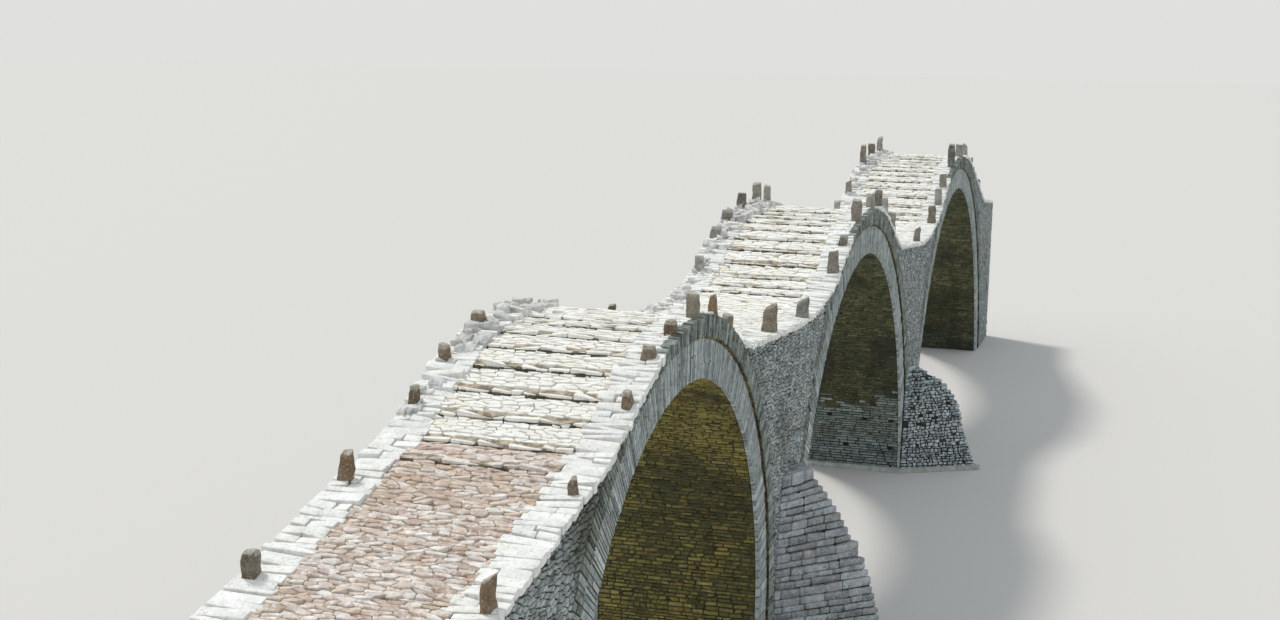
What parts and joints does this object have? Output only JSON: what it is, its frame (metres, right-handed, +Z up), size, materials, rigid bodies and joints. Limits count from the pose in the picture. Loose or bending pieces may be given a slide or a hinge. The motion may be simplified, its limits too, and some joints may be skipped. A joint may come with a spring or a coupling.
{
  "type": "stone arch bridge, 1:2 scale model",
  "caption": "Half-size model of a stone footbridge: three round arches of unequal span, a humped stepped deck with guard stones, and pointed cutwaters on the piers",
  "frame": {"origin": "middle of the length and of the width, at the level where the piers meet the water and the ends meet the ground", "axes": "+X runs along the bridge from the near end to the far end, +Y across it, +Z up"},
  "size_m": [28.0014, 3.635, 4.307],
  "materials": {
    "wall_stone": "rough",
    "soffit_stone": "rough",
    "pale_stone": "rough",
    "guard_stone": "rough",
    "cutwater_stone": "rough"
  },
  "bodies": {
    "root": {"near_abutment": "wall_stone", "far_abutment": "wall_stone", "pier_one": "wall_stone", "pier_two": "wall_stone", "pier_two_footing": "cutwater_stone", "cutwater_one_front": "cutwater_stone", "cutwater_one_back": "cutwater_stone", "cutwater_two_front": "cutwater_stone", "cutwater_two_back": "cutwater_stone", "cap_one_front": "cutwater_stone", "cap_one_back": "cutwater_stone", "cap_two_front": "cutwater_stone", "cap_two_back": "cutwater_stone", "arch_one_vault": "soffit_stone", "arch_two_vault": "soffit_stone", "arch_three_vault": "soffit_stone", "arch_one_outer_ring": "wall_stone", "arch_two_outer_ring": "wall_stone", "arch_three_outer_ring": "wall_stone", "near_spandrel_front": "wall_stone", "near_spandrel_fill": "wall_stone", "near_spandrel_back": "wall_stone", "pier_one_spandrel_front": "wall_stone", "pier_one_spandrel_fill": "wall_stone", "pier_one_spandrel_back": "wall_stone", "pier_two_spandrel_front": "wall_stone", "pier_two_spandrel_fill": "wall_stone", "pier_two_spandrel_back": "wall_stone", "far_spandrel_front": "wall_stone", "far_spandrel_fill": "wall_stone", "far_spandrel_back": "wall_stone", "paving_near": "pale_stone", "paving_middle": "pale_stone", "paving_far": "pale_stone", "kerb_front_near": "pale_stone", "kerb_front_middle": "pale_stone", "kerb_front_far": "pale_stone", "kerb_back_near": "pale_stone", "kerb_back_middle": "pale_stone", "kerb_back_far": "pale_stone", "guards_front_near": "guard_stone", "guards_front_far": "guard_stone", "guards_back_near": "guard_stone", "guards_back_far": "guard_stone"}
  },
  "joints": []
}
